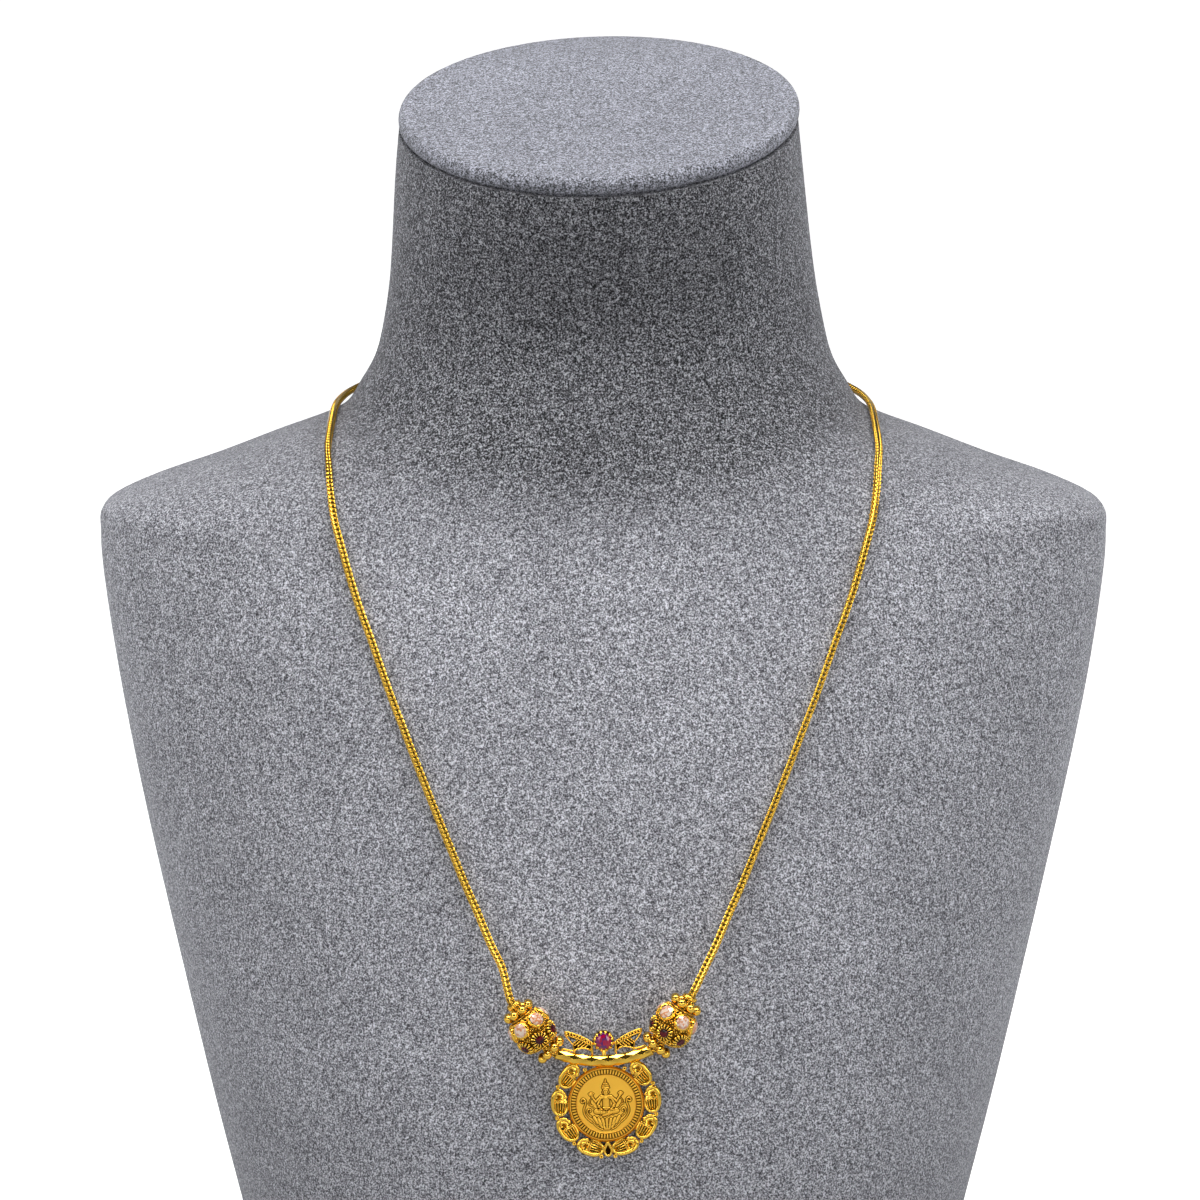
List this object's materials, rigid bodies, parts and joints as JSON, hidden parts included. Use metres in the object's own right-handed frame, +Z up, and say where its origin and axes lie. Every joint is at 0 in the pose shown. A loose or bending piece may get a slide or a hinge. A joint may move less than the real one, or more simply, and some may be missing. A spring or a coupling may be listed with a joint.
{
  "type": "temple necklace on a neck bust",
  "caption": "Gold temple necklace with a reeded coin pendant, stone-set balls and a foxtail chain, lying on a plain suede-covered neck bust that stands on its own.",
  "frame": {"origin": "on the ground under the axis of the neck, at the underside of the base board", "axes": "+Z up from the ground through the neck, the chest faces -Y, +X to the viewer's right"},
  "size_m": [0.2186, 0.1337, 0.2865],
  "materials": {
    "suede": "short napped grey microsuede",
    "suede_light": "short napped pale grey microsuede",
    "gold": "polished 22 karat yellow gold",
    "coin_gold": "satin struck yellow gold with a polished rim",
    "champagne": "cut pale pink zirconia",
    "garnet": "cut dark red garnet",
    "ruby": "round cut magenta red ruby"
  },
  "bodies": {
    "root": {"bust_form": "suede", "bust_base": "suede", "neck_cap": "suede_light", "chain_left": "gold", "chain_right": "gold", "clasp": "gold", "collar_left": "gold", "collar_right": "gold", "granules_left_outer": "gold", "granules_left_inner": "gold", "granules_right_outer": "gold", "granules_right_inner": "gold", "ball_left": "gold", "ball_right": "gold", "centre_frame": "gold", "coin": "coin_gold", "centre_ruby": "ruby", "champagne_left_1": "champagne", "champagne_left_2": "champagne", "champagne_left_3": "champagne", "champagne_left_4": "champagne", "champagne_left_5": "champagne", "champagne_left_6": "champagne", "champagne_right_1": "champagne", "champagne_right_2": "champagne", "champagne_right_3": "champagne", "champagne_right_4": "champagne", "champagne_right_5": "champagne", "champagne_right_6": "champagne", "garnet_left_1": "garnet", "garnet_left_2": "garnet", "garnet_left_3": "garnet", "garnet_left_4": "garnet", "garnet_left_5": "garnet", "garnet_left_6": "garnet", "garnet_right_1": "garnet", "garnet_right_2": "garnet", "garnet_right_3": "garnet", "garnet_right_4": "garnet", "garnet_right_5": "garnet", "garnet_right_6": "garnet"}
  },
  "joints": []
}
